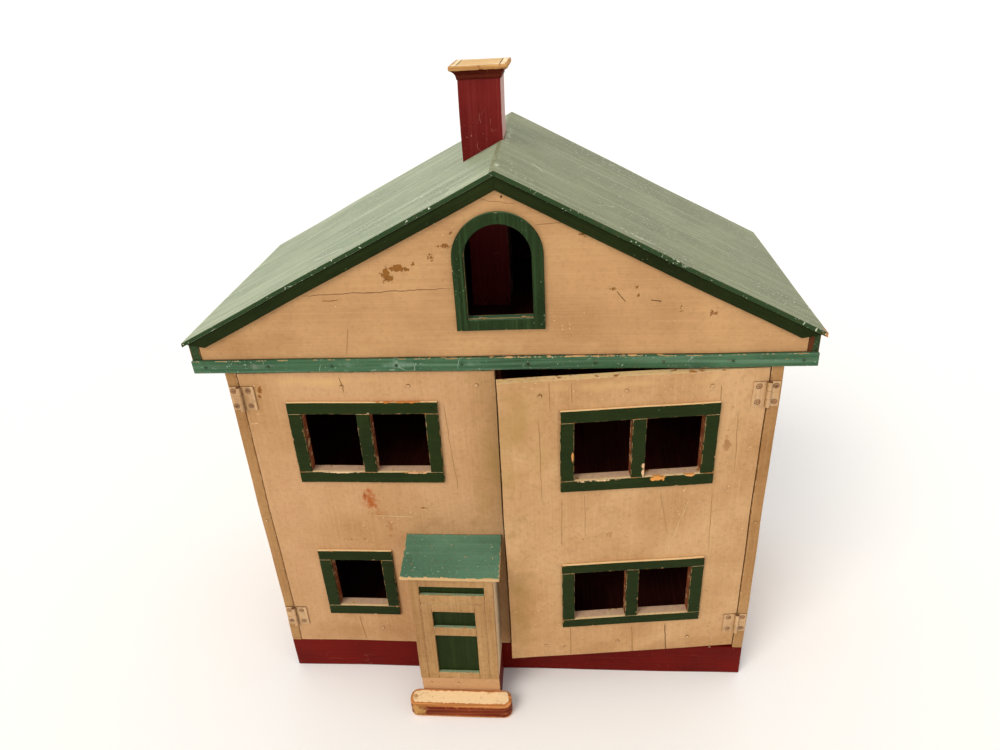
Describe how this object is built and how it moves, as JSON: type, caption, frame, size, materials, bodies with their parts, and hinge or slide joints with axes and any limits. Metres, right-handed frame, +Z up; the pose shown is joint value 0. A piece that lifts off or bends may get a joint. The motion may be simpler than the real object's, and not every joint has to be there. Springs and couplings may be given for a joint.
{
  "type": "dollhouse",
  "caption": "Wooden dollhouse with a gabled attic and chimney, whose front is two hinged doors with framed windows; the porch swings with one of them.",
  "frame": {"origin": "on the ground, at the middle of the whole object's width and depth", "axes": "+Z up, +Y from the doors towards the back wall, +X to the right of someone facing the doors"},
  "size_m": [0.673, 0.3976, 0.751],
  "materials": {
    "cream_paint": "aged cream oil paint on softwood",
    "maroon_paint": "worn maroon paint on softwood",
    "dark_green_paint": "dark green paint on softwood strips",
    "band_green_paint": "scuffed mid-green paint",
    "roof_green_paint": "brushed sage green paint",
    "porch_roof_paint": "brushed green paint",
    "inside_brown_paint": "dark red-brown stain",
    "worn_wood": "bare softwood, worn",
    "painted_steel": "steel painted over with the walls"
  },
  "bodies": {
    "carcass": {"plinth_front": "maroon_paint", "plinth_back": "maroon_paint", "plinth_left": "maroon_paint", "plinth_right": "maroon_paint", "ground_floor": "inside_brown_paint", "middle_floor": "inside_brown_paint", "attic_floor": "inside_brown_paint", "left_wall": "cream_paint", "right_wall": "cream_paint", "back_wall": "cream_paint", "lower_partition": "inside_brown_paint", "upper_partition": "inside_brown_paint", "left_post": "cream_paint", "right_post": "cream_paint", "front_gable": "cream_paint", "back_gable": "cream_paint", "gable_band": "band_green_paint", "left_eave_board": "band_green_paint", "right_eave_board": "band_green_paint", "left_roof_panel": "roof_green_paint", "right_roof_panel": "roof_green_paint", "left_barge_strip": "dark_green_paint", "right_barge_strip": "dark_green_paint", "arch_frame": "dark_green_paint", "chimney_shaft": "maroon_paint", "cap_side_moulding": "maroon_paint", "cap_end_moulding": "maroon_paint", "post_hinge_leaves": "painted_steel", "hinge_pins": "painted_steel", "post_screws": "painted_steel", "carcass_nails": "painted_steel"},
    "left_door": {"left_door_panel": "cream_paint", "left_door_battens": "worn_wood", "left_upper_rails": "dark_green_paint", "left_upper_stiles": "dark_green_paint", "left_lower_rails": "dark_green_paint", "left_lower_stiles": "dark_green_paint", "left_door_leaves": "painted_steel", "left_door_screws": "painted_steel", "left_door_nails": "painted_steel", "porch_left_side": "cream_paint", "porch_right_side": "cream_paint", "porch_panel": "dark_green_paint", "porch_stiles": "cream_paint", "porch_rails": "cream_paint", "porch_leaf_stiles": "cream_paint", "porch_leaf_rails": "cream_paint", "porch_roof": "porch_roof_paint", "porch_base": "maroon_paint", "porch_step": "worn_wood", "porch_nails": "painted_steel"},
    "right_door": {"right_door_panel": "cream_paint", "right_door_battens": "worn_wood", "right_upper_rails": "dark_green_paint", "right_upper_stiles": "dark_green_paint", "right_lower_rails": "dark_green_paint", "right_lower_stiles": "dark_green_paint", "right_door_leaves": "painted_steel", "right_door_screws": "painted_steel", "right_door_nails": "painted_steel"}
  },
  "joints": [
    {"name": "left_door_hinge", "type": "hinge", "parent": "carcass", "child": "left_door", "pos_m": [-0.287, -0.12305, 0.095], "axis": [0, 0, -1], "range_deg": [0, 165]},
    {"name": "right_door_hinge", "type": "hinge", "parent": "carcass", "child": "right_door", "pos_m": [0.287, -0.12305, 0.095], "axis": [0, 0, 1], "range_deg": [-6, 159]}
  ]
}
